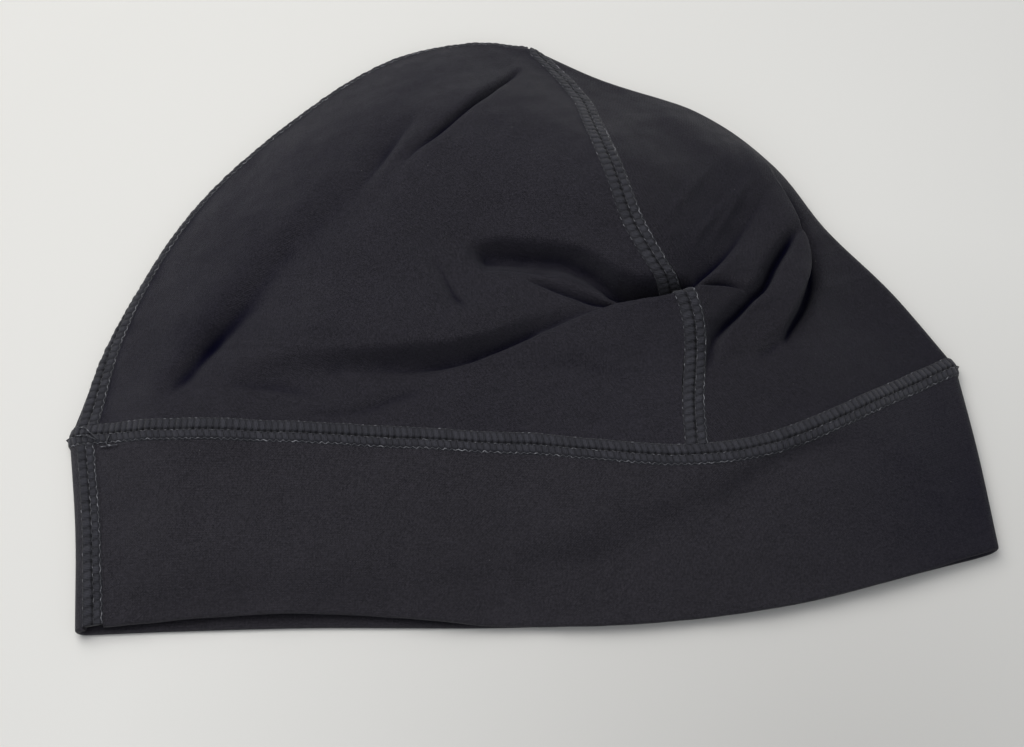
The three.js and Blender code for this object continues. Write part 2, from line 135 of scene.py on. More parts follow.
FOLDS = {
    "slump edge": fold(2.2, 2, [
        [-88, -17, 0, 4, 18], [-66, -16.4, 1.6, 4.2, 20], [-54, -15.4, 2.8, 4, 22, 0.2],
        [-41, -14.6, 4, 3.6, 22, 0.6], [-30, -14, 4.8, 3.4, 22, 0.8],
        [-20, -13.2, 5, 3.4, 20, 0.8], [-10, -10.8, 4.6, 3.4, 18, 0.8],
        [-2, -8, 3.4, 3.4, 14, 0.4], [8, -4.6, 1.6, 3.4, 10], [16, -3, 0, 3.4, 10],
    ]),
    "slump foot": fold(1.2, 1.6, [
        [-62, -21.6, 0, 4, 4], [-48, -20.8, -0.6, 3.4, 4], [-36, -20.2, -1, 2, 4],
        [-26, -19.9, -1.8, 1.2, 3.6], [-17, -18.6, -2.4, 0.7, 3.2], [-9, -16, -2.6, 0.6, 3],
        [-1.5, -13.1, -2.4, 0.6, 2.2], [6, -10.2, -1.4, 0.6, 1.6], [15, -7, -0.9, 0.6, 1.4],
        [24.3, -4.3, 0, 0.6, 1.4],
    ]),
    "strip lip": fold(2, 1.4, [
        [-22, -19.6, 0, 12, 1.6], [-9, -16.2, 0.9, 13, 1], [6, -10.4, 1.8, 14, 0.8],
        [18, -6.2, 2.4, 15, 0.8, -0.3], [28, -4, 3, 15, 0.8, -0.5],
        [38, -2, 2.8, 13, 0.9, -0.5], [45, -0.8, 1.6, 9, 1.4], [52, -2, 0, 8, 2],
    ]),
    "eye": fold(2, 2.8, [
        [-15, 9.4, 0, 2, 2.8], [-10.5, 9.3, -3.2, 2.6, 3], [-5, 9.2, -5, 3.2, 3],
        [1.4, 8.4, -5.8, 3.6, 2.9, -0.3], [8.4, 7.4, -6.2, 3.4, 2.8, -0.8],
        [14, 5, -6.6, 3, 2.8, -1.1], [18.6, 1.8, -7.2, 2.2, 3, -1.2],
        [22, -0.8, -8.8, 1.4, 3.4, -0.9], [26, -2.4, -10.2, 0.9, 3.6, -0.5],
        [31.5, -2.4, -11, 0.9, 3.6], [37, -1.2, -9, 0.9, 3], [42, 0.6, 0, 1.2, 2.6],
    ]),
    "eye corner": fold(2, 1.6, [
        [-10.2, 3.6, 0, 4, 1.6], [-10, 6.4, -1.3, 4.4, 1.6], [-10.2, 9, -1.3, 4.4, 1.6],
        [-10.8, 12.4, 0, 4, 1.6],
    ]),
    "low crease": fold(1.2, 1.4, [
        [-1.6, 2.6, 0, 0.6, 1], [3, 1, -1.9, 0.7, 1.3], [9.6, -1.5, -2.4, 0.7, 1.4],
        [16.9, -3.4, -2.6, 0.7, 1.4], [24, -4.2, -2.4, 0.7, 1.4], [30, -3.8, 0, 0.6, 1.4],
    ]),
    "faint crease": fold(1.2, 1.4, [
        [-11, 4.6, 0, 0.7, 1.4], [-6.5, 5.5, -0.9, 0.7, 1.2], [-1.5, 5.4, -1.1, 0.7, 1.1],
        [3.4, 4.7, -1.5, 0.7, 1.1], [8.4, 3.4, 0, 0.7, 1],
    ]),
    "small crease": fold(1.6, 1.2, [
        [-23.4, 9.6, 0, 2.4, 0.8], [-21, 5, -1, 1.8, 0.8], [-17.5, -2, -1.7, 1.6, 0.8],
        [-15.7, -3.9, -1.4, 1.6, 0.8], [-13.2, -6.4, 0, 1.6, 0.8],
    ]),
    "rib foot": fold(1.6, 1.4, [
        [36, -2.4, 0, 0.9, 4], [39.6, 0.2, -3.6, 0.8, 5], [43, 3.4, -5, 0.9, 6],
        [47, 7.2, -4.8, 1, 7], [50.1, 11, -4.6, 1.3, 9], [53, 15.6, -4, 1.8, 11],
        [57.5, 23.6, -2.8, 2.8, 13], [62, 33, -1.2, 4, 13], [66, 41, 0, 4, 12],
    ]),
    "thin lip": fold(1.4, 1.2, [
        [40.6, 0.4, 0, 0.5, 0.8], [44.2, 0.9, -2.4, 0.5, 0.8], [48, 1.3, -2.4, 0.5, 0.8],
        [52, 0.8, -1.6, 0.5, 0.9], [56, -0.4, 0, 0.6, 1],
    ]),
    "right crease": fold(1.6, 2.2, [
        [70, 20.6, 0, 1.8, 1.6], [66.6, 16.8, -2.6, 1.8, 1.5], [64.6, 13.6, -4.4, 1.7, 1.2],
        [61.6, 8.2, -5.4, 1.7, 1.1], [58.6, 2, -5.6, 1.7, 1.1], [55.6, -1, -4.8, 1.6, 1.2],
        [52.2, -4.6, -4.6, 1.5, 1.2], [48.4, -8.4, -4, 1.5, 1.4], [45.6, -12.2, -2.8, 1.4, 2],
        [44.1, -17.4, -1.8, 1.1, 2.2], [42.6, -25, 0, 1, 2.2],
    ]),
    "right lip": fold(2, 2.6, [
        [53, 54, 0, 8, 2], [58.6, 46, 1.4, 8, 1.6], [62.4, 38, 2.4, 8, 1.4, -0.2],
        [65.8, 29, 3.4, 8, 1.2, -0.5], [68.2, 20, 4.8, 7.5, 1.1, -0.8],
        [69.6, 12.6, 5.6, 7, 1, -1], [69.2, 6.4, 5.8, 7, 1, -1], [67.2, 0.4, 5, 7, 1, -0.9],
        [64.6, -5.4, 3.8, 6.6, 1.1, -0.6], [62, -10.4, 2.4, 6, 1.3, -0.2], [60.6, -17, 0, 5, 2],
    ]),
    "right lip foot": fold(2, 1.5, [
        [66, 34, 0, 0.8, 1.6], [69, 26, -1.7, 0.9, 1.5], [71.2, 17, -3, 1, 1.5],
        [71.8, 8, -3.6, 1, 1.5], [69, -1.6, -3.4, 1, 1.5], [64.6, -9, -2.4, 0.9, 1.4],
        [61.6, -14.6, 0, 0.8, 1.2],
    ]),
    "low dimple": fold(2, 2, [
        [62.8, -10.2, 0, 2, 1.4], [61, -13.4, -1.5, 2.2, 1.4], [59, -15.4, -1.3, 2.2, 1.4],
        [54.6, -17.4, 0, 2.2, 1.4],
    ]),
    "top crease": fold(1.5, 1.5, [
        [-1, 70, 0, 1.2, 0.8], [-3.6, 66, -2, 1.1, 0.9], [-6.6, 61.8, -2.6, 1.1, 0.9],
        [-10, 57.1, -2.9, 1.1, 0.9], [-14.4, 52.1, -2.9, 1.1, 0.9],
        [-18.9, 46.6, -2.7, 1.2, 0.9], [-23.5, 41.7, -2.3, 1.3, 0.9],
        [-27.4, 38, -1.6, 1.6, 0.9], [-32.6, 31.6, 0, 2, 1.2],
    ]),
    "second crease": fold(1.6, 1.6, [
        [-27, 51, 0, 3.4, 1.6], [-31, 44.4, -1.2, 3.4, 1.4], [-34.6, 38.3, -1.9, 3.4, 1.3],
        [-38.9, 31.2, -1.2, 3.4, 1.6], [-43.5, 25.4, 0, 3.4, 2],
    ]),
    "second ridge": fold(2, 2, [
        [-28, 46, 0, 1.8, 1.8], [-33.2, 37, 0.4, 1.8, 2], [-37, 30, 0.4, 1.8, 2.2],
        [-41, 22, 0, 2, 2.4],
    ]),
    "left valley": fold(2, 2, [
        [-30, 34, 0, 6, 16], [-38, 27.5, -1.8, 6, 18], [-46, 21.5, -2.8, 5.6, 18],
        [-54.5, 13.5, -3.6, 5.2, 17], [-63.3, 2.5, -4, 4.8, 15], [-71, -6.5, -3.8, 4.4, 13],
        [-77, -13, -3.2, 4, 10], [-82.3, -20.5, -2, 3.6, 8], [-88, -26.4, 0, 3.4, 6],
    ]),
    "left valley crease": fold(2, 2, [
        [-64, 1, 0, 2, 2.6], [-71, -6.8, -1.4, 2, 2.6], [-77, -13, -2.3, 1.8, 2.2],
        [-82, -19.8, -1.4, 1.8, 2.2], [-88, -27.4, 0, 1.6, 2],
    ]),
    "band valley": fold(2, 2, [
        [58, -45, 0, 5, 12], [40, -55.3, -1.8, 5, 12], [17, -66.3, -2, 5, 12],
        [-6, -71, -1.2, 5, 12], [-26, -76, 0, 5, 12],
    ]),
    "band crease": fold(2, 2, [
        [84, -35.5, 0, 2.6, 7], [74.6, -38.9, -1.5, 2.6, 7], [62.4, -42.7, -2.2, 2.6, 7],
        [50, -50.3, -1.6, 2.6, 7], [42, -56, 0, 2.6, 7],
    ]),
    "hem rests": fold(2, 2, [
        [-105, -82, 0, 9, 9, -1.8], [-92, -82, -1.7, 9, 9, -1.6], [-75, -82, -3.6, 9, 10, -1.6],
        [-52, -82, -4.4, 9, 10, -1.6], [-30, -82, -3.6, 9, 10, -1.6],
        [-10, -82, -1.9, 9, 9, -1.6], [12, -81, -0.8, 9, 9, -3.6],
        [40, -79.5, -0.8, 9, 9, -5.2], [66, -76, -0.7, 9, 9, -5.2], [92, -68, 0, 9, 9, -3],
    ]),
    "ripple left": fold(1.4, 1.6, [
        [-76, -24, 0, 0.8, 2.6], [-68, -24.4, -0.8, 0.8, 2.6], [-57, -25.6, -1, 0.8, 2.6],
        [-46, -28.4, 0, 0.8, 2.6],
    ]),
    "ripple middle": fold(1.6, 1.4, [
        [-56, -29.4, 0, 3, 1], [-48, -31.4, -0.8, 3, 1], [-40, -30.6, -1, 3, 1],
        [-31, -27, -0.8, 3, 1], [-20, -24.6, 0, 3, 1],
    ]),
    "ripple right": fold(2, 1.6, [
        [-2, -22, 0, 2.4, 2], [8, -19.4, -0.8, 2.4, 2], [20, -21.6, -0.7, 2.4, 2],
        [33, -27, 0, 2.4, 2],
    ]),
    "fan rib one": fold(2, 2, [
        [33, 13, 0, 1.6, 1.6], [37, 20, 0.7, 1.4, 1.4], [44, 30, 0.6, 1.4, 1.4],
        [50, 40, 0, 1.6, 1.6],
    ]),
    "fan rib two": fold(2, 2, [
        [40, 9, 0, 1.4, 1.4], [43.6, 15, 0.7, 1.2, 1.2], [50, 24, 0.7, 1.2, 1.2],
        [56, 32, 0, 1.4, 1.4],
    ]),
    "fan rib three": fold(2, 2, [
        [44, 10, 0, 1.2, 1.2], [48.7, 18, 0.7, 1.1, 1.1], [53.4, 26, 0.7, 1.1, 1.1],
        [58, 34, 0, 1.3, 1.3],
    ]),
}


def row_value(rows, key, column, at):
    """A smooth curve through the rows of a table, in one of its columns."""
    keys = rows[key]
    values = rows[column]
    last = len(keys) - 1
    i = np.searchsorted(keys[1:last], at, side="left")
    before = np.maximum(i - 1, 0)
    after = np.minimum(i + 2, last)
    span = keys[i + 1] - keys[i]
    t = (at - keys[i]) / span
    slope_a = (values[i + 1] - values[before]) / (keys[i + 1] - keys[before]) * span
    slope_b = (values[after] - values[i]) / (keys[after] - keys[i]) * span
    return hermite(values[i], values[i + 1], slope_a, slope_b, t)


def hermite(a, b, slope_a, slope_b, t):
    t2 = t * t
    t3 = t2 * t
    start = a * (2 * t3 - 3 * t2 + 1) + slope_a * (t3 - 2 * t2 + t)
    return start + b * (3 * t2 - 2 * t3) + slope_b * (t3 - t2)


def unit(vectors):
    return vectors / np.maximum(np.linalg.norm(vectors, axis=-1), 1e-9)[..., None]


def run_length(points):
    """How far along a line of points, or along each column of a grid of them, every point lies."""
    steps = np.linalg.norm(np.diff(points, axis=0), axis=-1)
    return np.concatenate([np.zeros_like(steps[:1]), np.cumsum(steps, axis=0)])


def smooth(t):
    c = np.clip(t, 0, 1)
    return c * c * (3 - 2 * c)


def section_value(column, along):
    band = row_value(BAND_SECTIONS, "along", column, np.minimum(along, 0))
    crown = row_value(CROWN_SECTIONS, "along", column, np.maximum(along, 0))
    return np.where(along < 0, band, crown)


SECTION_QUARTERS = 4


def plan_point(share, along):
    """The place in plan of points that are a share of the way across a section."""
    left = section_value("leftX", along)
    right = section_value("rightX", along)
    y = np.stack([section_value(c, along) for c in ("leftY", "y25", "y50", "y75", "rightY")])
    i = np.clip(np.ceil(share * SECTION_QUARTERS).astype(int) - 1, 0, SECTION_QUARTERS - 1)
    before = np.maximum(i - 1, 0)
    after = np.minimum(i + 2, SECTION_QUARTERS)
    pick = np.arange(len(share))
    slope_a = (y[i + 1, pick] - y[before, pick]) / (i + 1 - before)
    slope_b = (y[after, pick] - y[i, pick]) / (after - i)
    t = share * SECTION_QUARTERS - i
    return left + (right - left) * share, hermite(y[i, pick], y[i + 1, pick], slope_a, slope_b, t)


def outline_points():
    """The cap's outline in plan: up the left fold, round the point and down the right fold."""
    past_hem = -1.25
    past_point = 1.0001
    step = 0.008
    along = np.minimum(np.arange(past_hem, past_point, step), 1)
    left = plan_point(np.zeros_like(along), along)
    right = plan_point(np.ones_like(along), along)
    return np.concatenate([np.stack(left, 1), np.stack(right, 1)[::-1]])


OUTLINE = outline_points()
TILE = 12                 # points are sorted into tiles, so that few segments are tried for each


def nearest_on_segments(points, a, d):
    """The distance of points to the nearest of some segments, which it is, how far along and the side."""
    p = points[:, None, :] - a
    t = np.clip((p * d).sum(2) / np.maximum((d * d).sum(1), 1e-12), 0, 1)
    e = p - t[..., None] * d
    far = (e * e).sum(2)
    best = far.argmin(1)
    pick = np.arange(len(best))
    side = np.sign(d[best, 0] * e[pick, best, 1] - d[best, 1] * e[pick, best, 0])
    return np.stack([np.sqrt(far[pick, best]), best, t[pick, best], side], 1)


def nearest_on_line(points, line):
    """How far points are from a line in plan, how far along it in segments, and on which side."""
    a = line[:-1]
    d = line[1:] - a
    tiles = np.floor(points / TILE).astype(int)
    order = np.lexsort((tiles[:, 1], tiles[:, 0]))
    turns = np.flatnonzero(np.any(np.diff(tiles[order], axis=0), axis=1)) + 1
    found = np.empty((len(points), 3))
    for group in np.split(order, turns):
        middle = (tiles[group[:1]] + 0.5) * TILE
        offset = middle - a
        t = np.clip((offset * d).sum(1) / np.maximum((d * d).sum(1), 1e-12), 0, 1)
        far = np.linalg.norm(offset - t[:, None] * d, axis=1)
        near = np.flatnonzero(far <= far.min() + 1.5 * TILE)
        nearest = nearest_on_segments(points[group], a[near], d[near])
        nearest[:, 1] = near[nearest[:, 1].astype(int)] + nearest[:, 2]
        found[group] = nearest[:, [0, 1, 3]]
    return found.T


def mound(x, y, at_x, at_y, length, width, turn):
    """A round mound over places in plan, turned in degrees: 1 in its middle and less further out."""
    c, s = math.cos(math.radians(turn)), math.sin(math.radians(turn))
    p = ((x - at_x) * c + (y - at_y) * s) / length
    q = ((y - at_y) * c - (x - at_x) * s) / width
    return np.exp(-p * p - q * q)


def swell_shift(x, y):
    """How far the swellings lift points of the upper layer, and how far they draw them up the cap."""
    up = np.zeros_like(x)
    along = np.zeros_like(x)
    for _, *place, height, back in SWELLS:
        share = mound(x, y, *place)
        up += height * share
        along += back * share
    return up, along


FOLD_STEPS = 9            # steps of a fold's line from one row of its table to the next
FOLD_REACH = 3            # how many of its widths away a fold still shifts the cloth


def fold_line(rows):
    """A fold's rows smoothed into a closer line, with the same columns."""
    knots = run_length(np.stack([rows["x"], rows["y"]], 1))
    rows = dict(rows, at=knots)
    steps = [np.linspace(a, b, FOLD_STEPS, endpoint=False) for a, b in zip(knots[:-1], knots[1:])]
    at = np.concatenate(steps + [knots[-1:]])
    line = {c: row_value(rows, "at", c, at) for c in ("x", "y", "height")}
    line.update({c: np.interp(at, knots, rows[c]) for c in ("right", "left", "lean")})
    return line


def fold_shift(x, y):
    """How the folds move points of the upper layer: sideways in plan and up or down."""
    shift = np.zeros((len(x), 3))
    points = np.stack([x, y], 1)
    for right_power, left_power, rows in FOLDS.values():
        line = fold_line(rows)
        path = np.stack([line["x"], line["y"]], 1)
        reach = FOLD_REACH * max(line["right"].max(), line["left"].max())
        near = ((points > path.min(0) - reach) & (points < path.max(0) + reach)).all(1)
        if not near.any():
            continue
        far, at, side = nearest_on_line(points[near], path)
        d = unit(np.gradient(path, axis=0))
        dx, dy, height, right, left, lean = (
            np.interp(at, np.arange(len(path)), values)
            for values in (d[:, 0], d[:, 1], line["height"], line["right"], line["left"], line["lean"])
        )
        width = np.where(side < 0, right, left)
        crest = np.exp(-(far / width) ** np.where(side < 0, right_power, left_power))
        ends = np.sqrt(height ** 2 + 1e-9) / np.abs(line["height"]).max()
        shift[near, 0] += lean * crest * ends * dy
        shift[near, 1] -= lean * crest * ends * dx
        shift[near, 2] += height * crest
    return shift


# Gentle waves of the cloth everywhere, so that no stretch of it is quite smooth
WAVE_COUNT = 28
LONGEST_WAVE = 30
SHORTEST_WAVE = 4.5
WAVE_HEIGHT = 0.11        # of the longest one, and shorter ones are lower by this power of their length
WAVE_POWER = 1.1
WAVE_PHASE = 5.1
GOLDEN_TURN = 2.399963


def waves(x, y):
    total = np.zeros_like(x)
    for k in range(WAVE_COUNT):
        share = k / (WAVE_COUNT - 1)
        length = LONGEST_WAVE * (SHORTEST_WAVE / LONGEST_WAVE) ** share
        turn = GOLDEN_TURN * k
        phase = WAVE_PHASE * k * k
        height = WAVE_HEIGHT * (length / LONGEST_WAVE) ** WAVE_POWER
        total += height * np.sin((x * math.cos(turn) + y * math.sin(turn)) * 2 * math.pi / length + phase)
    return total


def layer_length(along):
    """The length of one layer of cloth across a section, from the left fold to the right one."""
    width = section_value("rightX", along) - section_value("leftX", along)
    return np.maximum(width, LEAST_WIDTH) + (math.pi - 2) * FOLD_RADIUS


def inset_from_fold(cloth):
    """How far in from a fold a point lies in plan, when it lies a given way along the cloth."""
    quarter = (math.pi / 2) * FOLD_RADIUS
    turned = FOLD_RADIUS * (1 - np.cos(np.minimum(cloth, quarter) / FOLD_RADIUS))
    return np.where(cloth < quarter, turned, FOLD_RADIUS + cloth - quarter)


# How far the hem of the lower layer lies back from the section's own line
LOWER_HEM = table(["x", "back"], [
    [-104, 0.0], [-84, 0.6], [-56, 1.1], [-20, 1.5], [18, 1.8], [55, 2.0], [86, 1.2], [106, 0.0],
])
LOWER_HEM_REACH = 0.3     # how far up the band that reaches


def lower_hem_back(x, along):
    share = smooth((LOWER_HEM_REACH - 1 - along) / LOWER_HEM_REACH)
    return share * np.interp(x, LOWER_HEM["x"], LOWER_HEM["back"])


def surface(around, along):
    """Points of the cap's outer surface, for arrays of coordinates of any one shape."""
    shape = np.broadcast(around, along).shape
    turn = np.mod(np.broadcast_to(around, shape).ravel(), 2)
    along = np.broadcast_to(along, shape).ravel()
    upper = turn <= 1
    across = np.where(upper, turn, 2 - turn)
    length = layer_length(along)
    width = length - (math.pi - 2) * FOLD_RADIUS
    from_left = inset_from_fold(np.minimum(across, 1 - across) * length) / width
    x, y = plan_point(np.where(across < 0.5, from_left, 1 - from_left), along)
    inset = nearest_on_line(np.stack([x, y], 1), OUTLINE)[0]
    rounding = FOLD_RADIUS - np.minimum(inset, FOLD_RADIUS)
    rise = np.sqrt(np.maximum(FOLD_RADIUS ** 2 - rounding ** 2, 0))
    swell_in = 1 - (1 - np.minimum(inset / BULGE_REACH, 1)) ** 2
    swell_up, swell_back = swell_shift(x, y)
    level = np.maximum(section_value("level", along) - 2 * FOLD_RADIUS + swell_up, LEAST_RISE)
    shift = fold_shift(x, y)
    shift[:, 1] += swell_back
    shift[:, 2] += waves(x, y)
    shift *= smooth(inset / FOLD_FADE)[:, None]
    shift[~upper] = 0
    shift[~upper, 1] = lower_hem_back(x, along)[~upper]
    z = np.where(upper, FOLD_RADIUS + rise + level * swell_in, FOLD_RADIUS - rise)
    return (np.stack([x, y, z], 1) + shift).reshape(shape + (3,))


def stretch_along(around, along):
    """How far a step of one in along moves a point, in millimetres."""
    step = 0.01
    return np.linalg.norm(surface(around, along + step) - surface(around, along - step), axis=-1) / (2 * step)


def seam_taper(along):
    """How much narrower the seams get where they meet at the point."""
    return np.minimum(1, 2 * layer_length(along) / (SEAMS_AT_POINT * (SEAM_WIDTH + 2 * SEAM_GAP)))


def front_seam_near(along):
    return row_value(FRONT_SEAM_NEAR, "along", "around", along)


def front_seam_far(along):
    return row_value(FRONT_SEAM_FAR, "along", "around", along)


def back_seam(along):
    return row_value(BACK_SEAM, "along", "inset", along) / layer_length(along)


def beside_seam(seam, along, offset):
    """A place beside a seam, offset millimetres from its middle line."""
    inner = np.minimum(np.abs(offset), HALF_SEAM)
    gap = np.abs(offset) - inner
    reach = inner * seam_taper(along) + gap
    return seam(along) + np.sign(offset) * reach / layer_length(along)


def beside_band_seam(around, offset):
    """A place above or below the band seam, offset millimetres from its middle line."""
    side = np.where(np.asarray(offset) < 0, -1.0, 1.0)
    return offset / stretch_along(around, side * BESIDE)


def grid_normals(points, loop=False):
    """The directions that a grid of points faces, its rows running up and its columns round."""
    if loop:
        across = np.roll(points, -1, axis=1) - np.roll(points, 1, axis=1)
    else:
        across = np.gradient(points, axis=1)
    return unit(np.cross(across, np.gradient(points, axis=0)))


def blurred(grid, times):
    """A grid of directions, each mixed with its neighbours again and again."""
    for _ in range(times):
        wide = np.pad(grid, ((0, 0), (1, 1), (0, 0)), mode="edge")
        grid = (2 * wide[:, 1:-1] + wide[:, 2:] + wide[:, :-2]) / 4
        tall = np.pad(grid, ((1, 1), (0, 0), (0, 0)), mode="edge")
        grid = (2 * tall[1:-1] + tall[2:] + tall[:-2]) / 4
    return unit(grid)


def add_object(name, data, location=(0, 0, 0), target=None):
    """Puts an object into the scene, and turns it to look at its target, if it has one."""
    obj = bpy.data.objects.new(name, data)
    bpy.context.collection.objects.link(obj)
    obj.location = location
    if target is not None:
        obj.rotation_euler = (Vector(target) - obj.location).to_track_quat("-Z", "Y").to_euler()
    return obj


class Shape:
    """A mesh in the making: points, faces, and for each point its place on the cloth and its tone, which
    carries painted shade as well as the stitches' own lightness.
    """

    def __init__(self):
        self.points = []
        self.cloth = []
        self.tone = []
        self.faces = []
        self.looks = []
        self.count = 0

    def add(self, points, cloth, tone):
        points = np.asarray(points, float).reshape(-1, 3)
        index = self.count + np.arange(len(points))
        self.points.append(points)
        self.cloth.append(np.broadcast_to(np.asarray(cloth, float), (len(points), 2)))
        self.tone.append(np.broadcast_to(np.asarray(tone, float), len(points)))
        self.count += len(points)
        return index

    def add_faces(self, faces, look=0):
        faces = np.asarray(faces, int)
        self.faces.append(faces)
        self.looks.append(np.full(len(faces), look))

    def quads(self, index, loop=False, flip=False, look=0):
        """Faces between the points of a grid of indices."""
        if loop:
            index = np.concatenate([index, index[:, :1]], 1)
        a, b, c, d = index[:-1, :-1], index[:-1, 1:], index[1:, 1:], index[1:, :-1]
        order = (a, d, c, b) if flip else (a, b, c, d)
        self.add_faces(np.stack([k.ravel() for k in order], 1), look)

    def rim(self, fine, coarse, flip=False):
        """Faces between an edge of the outer grid and the same edge of the coarser inner one."""
        a0, a1, a2 = fine[:-1:2], fine[1::2], fine[2::2]
        b0, b1 = coarse[:-1], coarse[1:]
        for three in ((b0, a1, a0), (b0, b1, a1), (b1, a2, a1)):
            three = three[::-1] if flip else three
            self.add_faces(np.stack([three[0], three[1], three[2], three[2]], 1))

    def wall(self, face, back, cloth, tone, flip=False):
        """A closed wall from the grid of its face to that of its back, of which every second row and
        column is used."""
        fine = self.add(face, cloth.reshape(-1, 2), tone.ravel()).reshape(face.shape[:2])
        back = back[::2, ::2]
        coarse = self.add(back, cloth[::2, ::2].reshape(-1, 2), 1).reshape(back.shape[:2])
        self.quads(fine, flip=flip)
        self.quads(coarse, flip=not flip)
        self.rim(fine[0], coarse[0], flip=not flip)
        self.rim(fine[-1], coarse[-1], flip=flip)
        self.rim(fine[:, 0], coarse[:, 0], flip=flip)
        self.rim(fine[:, -1], coarse[:, -1], flip=not flip)

    def build(self, name, materials):
        points = np.concatenate(self.points)
        faces = np.concatenate(self.faces)
        looks = np.concatenate(self.looks)
        threes = faces[:, 2] == faces[:, 3]
        sizes = np.where(threes, 3, 4)
        keep = np.ones_like(faces, bool)
        keep[threes, 3] = False
        corners = faces[keep]
        mesh = bpy.data.meshes.new(name)
        mesh.vertices.add(len(points))
        mesh.vertices.foreach_set("co", (points * MM).ravel())
        mesh.loops.add(len(corners))
        mesh.loops.foreach_set("vertex_index", corners)
        mesh.polygons.add(len(faces))
        mesh.polygons.foreach_set("loop_start", np.concatenate([[0], np.cumsum(sizes)[:-1]]))
        mesh.polygons.foreach_set("material_index", looks)
        mesh.polygons.foreach_set("use_smooth", np.ones(len(faces), bool))
        mesh.update(calc_edges=True)
        places = mesh.uv_layers.new(name="cloth_mm")
        places.uv.foreach_set("vector", np.concatenate(self.cloth)[corners].astype(np.float32).ravel())
        tone = mesh.attributes.new("tone", "FLOAT", "POINT")
        tone.data.foreach_set("value", np.concatenate(self.tone).astype(np.float32))
        for material in materials:
            mesh.materials.append(material)
        mesh.validate()
        return add_object(name, mesh)


CREASE_BLUR = 60          # how often a grid is blurred to find what lies deeper than its surroundings
CREASE_DEPTH = 1.8        # depth at which a crease has its darkest painted shade
CREASE_PAINTED_SHADE = 0.9         # how much darker the painted shade makes it there
NORMAL_BLUR = 6           # how often the directions that a panel's wall faces are blurred
HEM_BLUR = 8              # and those of the band's


def crease_painted_shade(points):
    """The painted shade of a grid of points: 1 on open cloth, and less down in a crease, where the colour is
    darkened to stand in for shade.
    """
    height = points[..., 2]
    around = height
    for _ in range(CREASE_BLUR):
        wide = np.pad(around, 1, mode="edge")
        around = (4 * around + wide[1:-1, 2:] + wide[1:-1, :-2] + wide[2:, 1:-1] + wide[:-2, 1:-1]) / 8
    return 1 - CREASE_PAINTED_SHADE * smooth((around - height) / CREASE_DEPTH)


# Patches of painted shade, where the cloth is coloured darker to stand in for light that falls off there:
# each with a length and a width, turned in degrees
PAINTED_SHADE_PATCHES = [
    # x, y, length, width, turn, darker
    (114, -46, 36, 42, 0, 0.42),
    (40, 62, 50, 20, -32, 0.16),
    (-62, 36, 60, 22, 52, 0.14),
    (-80, -9, 16, 8, 52, 0.16),
    (44, 16, 24, 10, 60, 0.14),
]


def patch_painted_shade(points):
    """The painted shade of the darker patches over a grid of points."""
    tone = np.ones(points.shape[:-1])
    for *place, darker in PAINTED_SHADE_PATCHES:
        tone -= darker * mound(points[..., 0], points[..., 1], *place)
    return tone


# How close the rows of the crown's grids lie, from the band seam to the point
CROWN_ROW_BANDS = [(0.1, 16), (0.52, 142), (0.8, 62), (0.95, 28), (POINT_TRIM, 16)]


def between(*stops):
    """Places between stops: each after the first is (place, how many steps lead to it)."""
    places = [stops[0]]
    for place, steps in stops[1:]:
        start = places[-1]
        places += [start + (place - start) * i / steps for i in range(1, steps + 1)]
    return np.array(places)


def crown_grid(lines_at, foot_offset):
    """Places on a piece of the crown: lines_at gives those around the cap at one height."""
    rows = between(0.0, *CROWN_ROW_BANDS)
    around = np.stack([lines_at(along) for along in rows])
    foot = beside_band_seam(around[0], foot_offset)
    along = foot + rows[:, None] * (POINT_TRIM - foot) / POINT_TRIM
    return around, along


FOLD_STRIP = 8            # half width of the strip of closer columns that turns round a fold


def panel_edges(along, left_seam, right_seam):
    """Where a panel starts and ends round the cap at one height, and how far round FOLD_STRIP reaches."""
    along = np.array([along])
    start = beside_seam(left_seam, along, UNDER_SEAM)[0]
    end = beside_seam(right_seam, along, -UNDER_SEAM)[0]
    return start, end, FOLD_STRIP / layer_length(along)[0]


def near_panel_lines(along):
    start, end, _ = panel_edges(along, back_seam, front_seam_near)
    return between(start, (start + (end - start) * 0.5, 90), (end, 158))


def front_panel_lines(along):
    start, end, strip = panel_edges(along, front_seam_near, front_seam_far)
    strip = min(strip, 0.3 * (1 - start))
    return between(start, (1 - strip, 146), (1 + strip, 24), (end, 16))


def far_panel_lines(along):
    start, end, strip = panel_edges(along, front_seam_far, back_seam)
    end += 2
    strip = min(strip, 0.3 * (end - start))
    return between(start, (end - strip, 40), (end, 10))


def cloth_places(points, middle):
    """For a grid of points, how far each lies across and up the cloth, from a column in the middle."""
    across = run_length(points.swapaxes(0, 1)).T
    across = across - across[:, middle:middle + 1]
    up = run_length(points[:, middle])
    return np.stack([across, np.broadcast_to(up[:, None], across.shape)], -1)


def crown_panel(name, lines_at, material):
    around, along = crown_grid(lines_at, UNDER_SEAM)
    points = surface(around, along)
    back = points - blurred(grid_normals(points), NORMAL_BLUR) * CLOTH
    shape = Shape()
    cloth = cloth_places(points, points.shape[1] // 2)
    # painted shade: the tone darkens the cloth down in creases and in the darker patches
    shape.wall(points, back, cloth, crease_painted_shade(points) * patch_painted_shade(points))
    return shape.build(name, [material])


